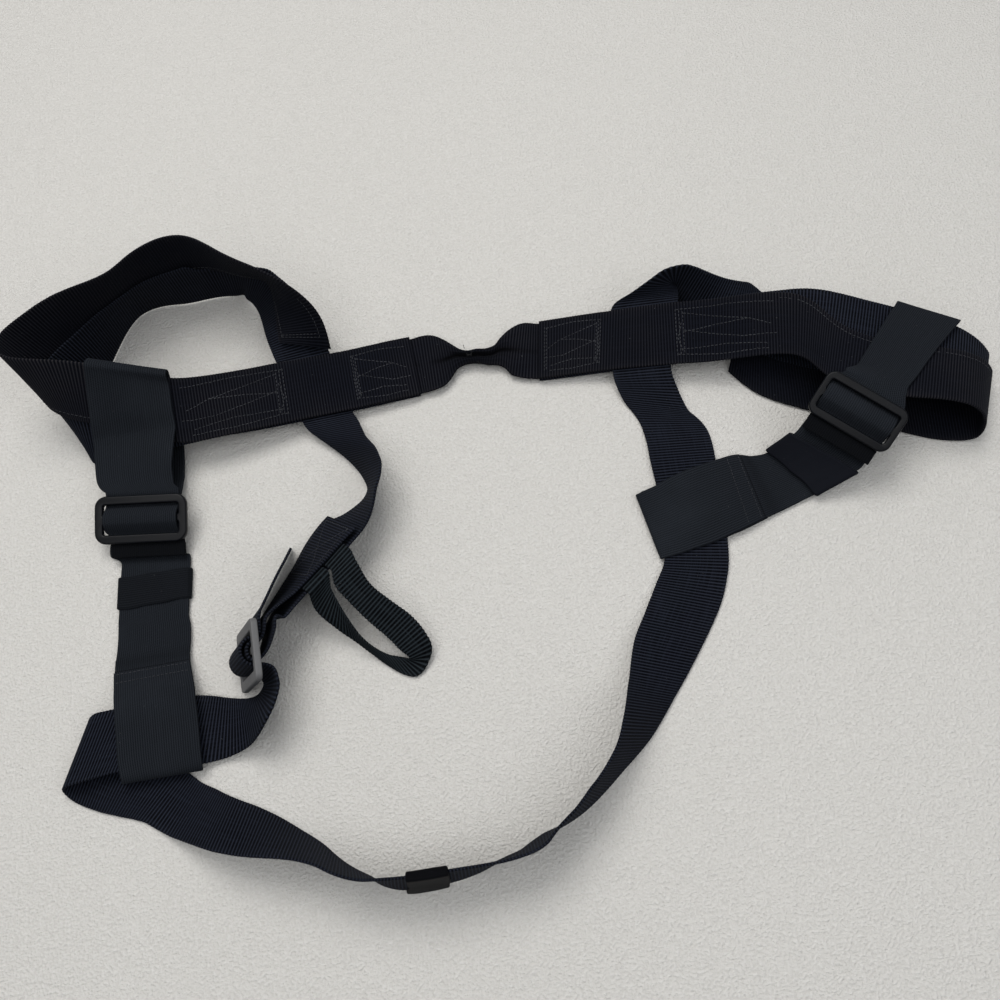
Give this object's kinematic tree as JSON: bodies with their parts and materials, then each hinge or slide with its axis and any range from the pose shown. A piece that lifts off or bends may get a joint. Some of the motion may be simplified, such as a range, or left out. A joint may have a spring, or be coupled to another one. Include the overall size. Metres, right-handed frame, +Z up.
{
  "type": "gait belt with shoulder loops",
  "caption": "Webbing gait belt: two sewn shoulder loops joined by a gathered yoke, adjustable waist strap with tri-glide and pull tab, elastic side straps.",
  "frame": {"origin": "centre of the outline in plan, at table level", "axes": "+Z up from the table, +X toward the right shoulder loop as laid out, +Y toward the yoke side, away from the waist strap"},
  "size_m": [0.7382, 0.4853, 0.0891],
  "materials": {
    "webbing": "ribbed woven webbing, worn matte",
    "tab_webbing": "narrow ribbed webbing, matte",
    "elastic": "woven elastic with fine lengthwise lines, matte",
    "keeper_webbing": "smooth tape, matte",
    "thread": "faded polyester thread",
    "black_plastic": "satin moulded plastic, edges rubbed lighter",
    "grey_plastic": "matte moulded plastic"
  },
  "bodies": {
    "belt": {"yoke_webbing": "webbing", "left_shoulder_front_webbing": "webbing", "left_shoulder_back_webbing": "webbing", "right_shoulder_front_webbing": "webbing", "right_shoulder_back_webbing": "webbing", "pull_tab_root_upper": "tab_webbing", "pull_tab_root_lower": "tab_webbing", "left_elastic": "elastic", "right_elastic": "elastic", "left_slider": "black_plastic", "right_slider": "black_plastic", "waist_slider": "grey_plastic", "left_yoke_stitch": "thread", "left_shoulder_stitch": "thread", "right_yoke_stitch": "thread", "right_shoulder_stitch": "thread", "left_loop_seam": "thread", "right_loop_seam": "thread", "left_patch_stitch": "thread", "waist_end_stitch": "thread", "left_elastic_seam": "thread", "right_elastic_seam": "thread", "left_hem_stitch": "thread", "right_hem_stitch": "thread", "yoke_bar_tack": "thread"},
    "left_keeper": {"left_elastic_keeper": "elastic"},
    "right_keeper": {"right_elastic_keeper": "keeper_webbing"},
    "waist_keeper": {"waist_strap_keeper": "keeper_webbing"},
    "pull_tab_loop": {"pull_tab": "tab_webbing"},
    "tail": {"strap_tail": "webbing"}
  },
  "joints": [
    {"name": "left_keeper_slide", "type": "slide", "parent": "belt", "child": "left_keeper", "axis": [-0.0435, -0.9991, 0.0024], "range_m": [-0.008, 0.008]},
    {"name": "right_keeper_slide", "type": "slide", "parent": "belt", "child": "right_keeper", "axis": [-0.8025, -0.2186, -0.5552], "range_m": [-0.002, 0.0025]},
    {"name": "waist_keeper_slide", "type": "slide", "parent": "belt", "child": "waist_keeper", "axis": [-0.9999, -0.0132, -0.0019], "range_m": [-0.004, 0.004]},
    {"name": "pull_tab_lift", "type": "hinge", "parent": "belt", "child": "pull_tab_loop", "pos_m": [-0.14446, -0.0228, 0.03846], "axis": [-0.6859, -0.7119, 0.1507], "range_deg": [0, 70]},
    {"name": "tail_swing", "type": "hinge", "parent": "belt", "child": "tail", "pos_m": [-0.19484, -0.04397, 0.02603], "axis": [0.2877, -0.2443, 0.926], "range_deg": [-4, 9]}
  ]
}
